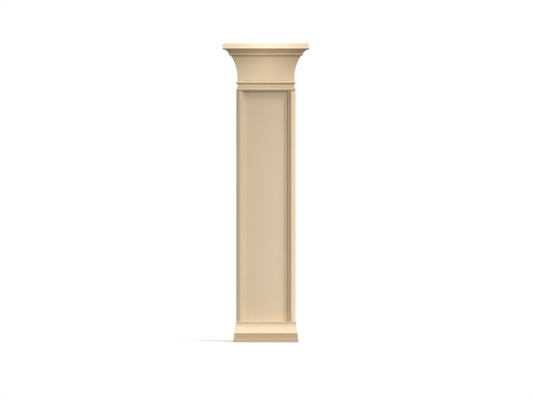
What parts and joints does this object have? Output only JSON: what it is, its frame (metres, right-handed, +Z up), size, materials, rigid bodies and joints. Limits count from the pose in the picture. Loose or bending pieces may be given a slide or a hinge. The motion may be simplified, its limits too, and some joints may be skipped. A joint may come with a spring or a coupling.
{
  "type": "pilaster",
  "caption": "Flat-backed wall pilaster: panelled shaft with moulded edges, bell-shaped capital under an abacus, and a stepped base.",
  "frame": {"origin": "on the back of the shaft, in the wall plane, at the middle of its width and its length", "axes": "+Z up along the shaft, +Y into the wall, the front faces -Y, +X to the right seen from the front"},
  "size_m": [0.753, 0.191, 2.5986],
  "materials": {
    "mineral_coat": "matte, smooth, very fine sandy grain"
  },
  "bodies": {
    "root": {"base": "mineral_coat", "shaft": "mineral_coat", "capital": "mineral_coat"}
  },
  "joints": []
}
